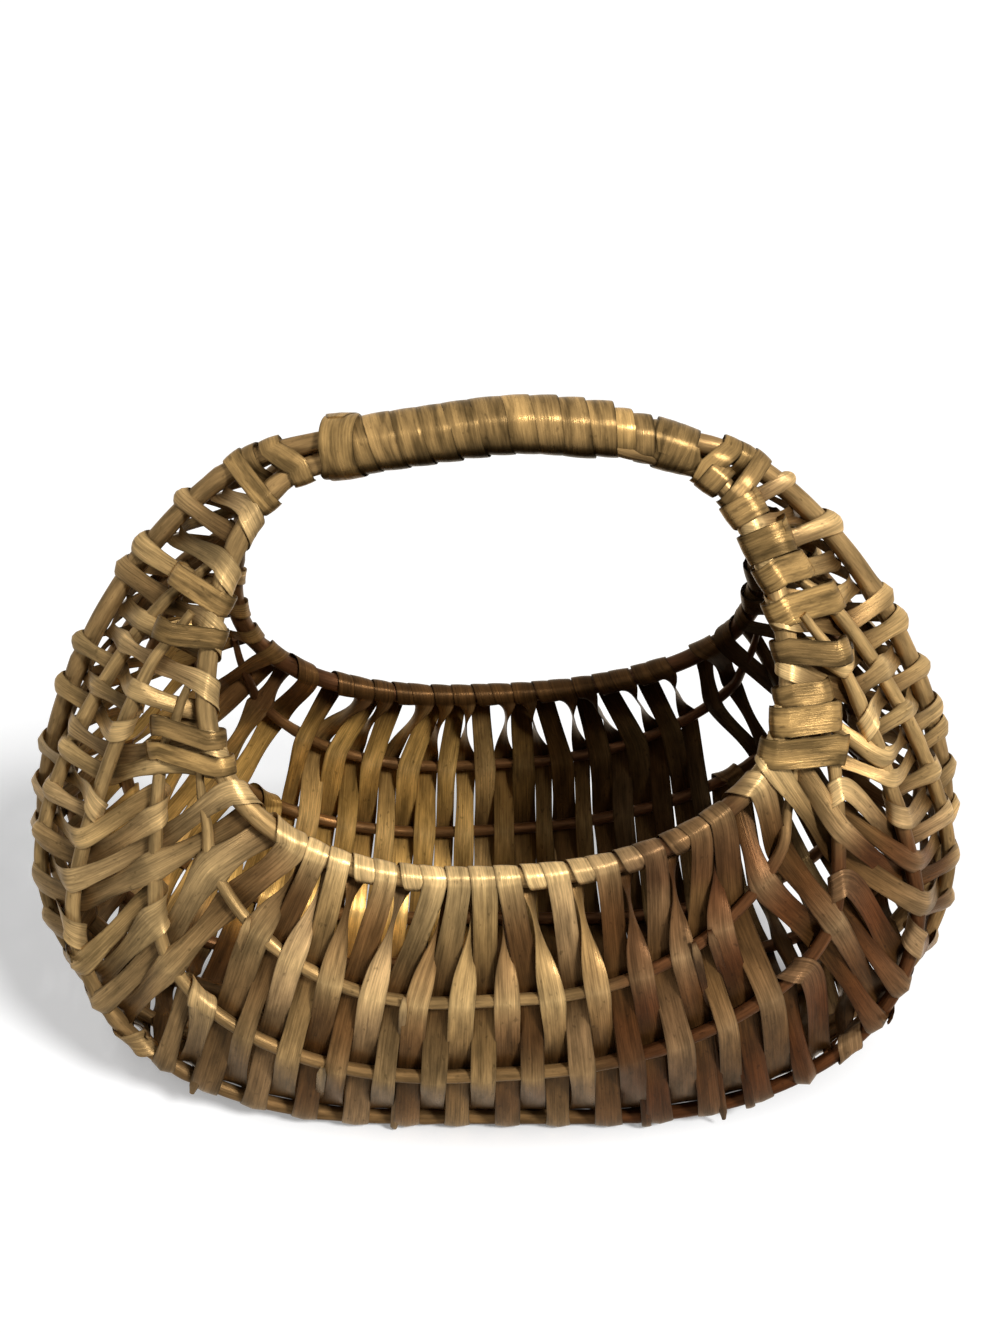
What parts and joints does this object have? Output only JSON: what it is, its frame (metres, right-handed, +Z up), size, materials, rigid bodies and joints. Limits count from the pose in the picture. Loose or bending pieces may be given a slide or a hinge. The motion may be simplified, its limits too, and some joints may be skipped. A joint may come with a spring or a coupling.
{
  "type": "foraging basket",
  "caption": "Oval frame basket of round willow rods and woven flat strips, with a fixed arched handle, for gathering mushrooms.",
  "frame": {"origin": "middle of the footprint, at the height of the ground that the basket stands on", "axes": "+X along the grip and the basket's length, -Y towards the front of the picture, +Z up"},
  "size_m": [0.3965, 0.194, 0.2923],
  "materials": {
    "hoop_willow": "varnished peeled willow, satin",
    "rib_willow": "varnished peeled willow, satin",
    "strip_willow": "varnished split willow, satin",
    "grip_willow": "varnished split willow, glossy"
  },
  "bodies": {
    "root": {"front_rim_hoop": "hoop_willow", "back_rim_hoop": "hoop_willow", "keel_hoop": "hoop_willow", "front_rib_1": "rib_willow", "front_rib_2": "rib_willow", "front_rib_3": "rib_willow", "front_rib_4": "rib_willow", "back_rib_1": "rib_willow", "back_rib_2": "rib_willow", "back_rib_3": "rib_willow", "back_rib_4": "rib_willow", "handle_winding": "grip_willow", "weaver_01": "strip_willow", "weaver_02": "strip_willow", "weaver_03": "strip_willow", "weaver_04": "strip_willow", "weaver_05": "strip_willow", "weaver_06": "strip_willow", "weaver_07": "strip_willow", "weaver_08": "strip_willow", "weaver_09": "strip_willow", "weaver_10": "strip_willow", "weaver_11": "strip_willow", "weaver_12": "strip_willow", "weaver_13": "strip_willow", "weaver_14": "strip_willow", "weaver_15": "strip_willow", "weaver_16": "strip_willow", "weaver_17": "strip_willow", "weaver_18": "strip_willow", "weaver_19": "strip_willow"}
  },
  "joints": []
}
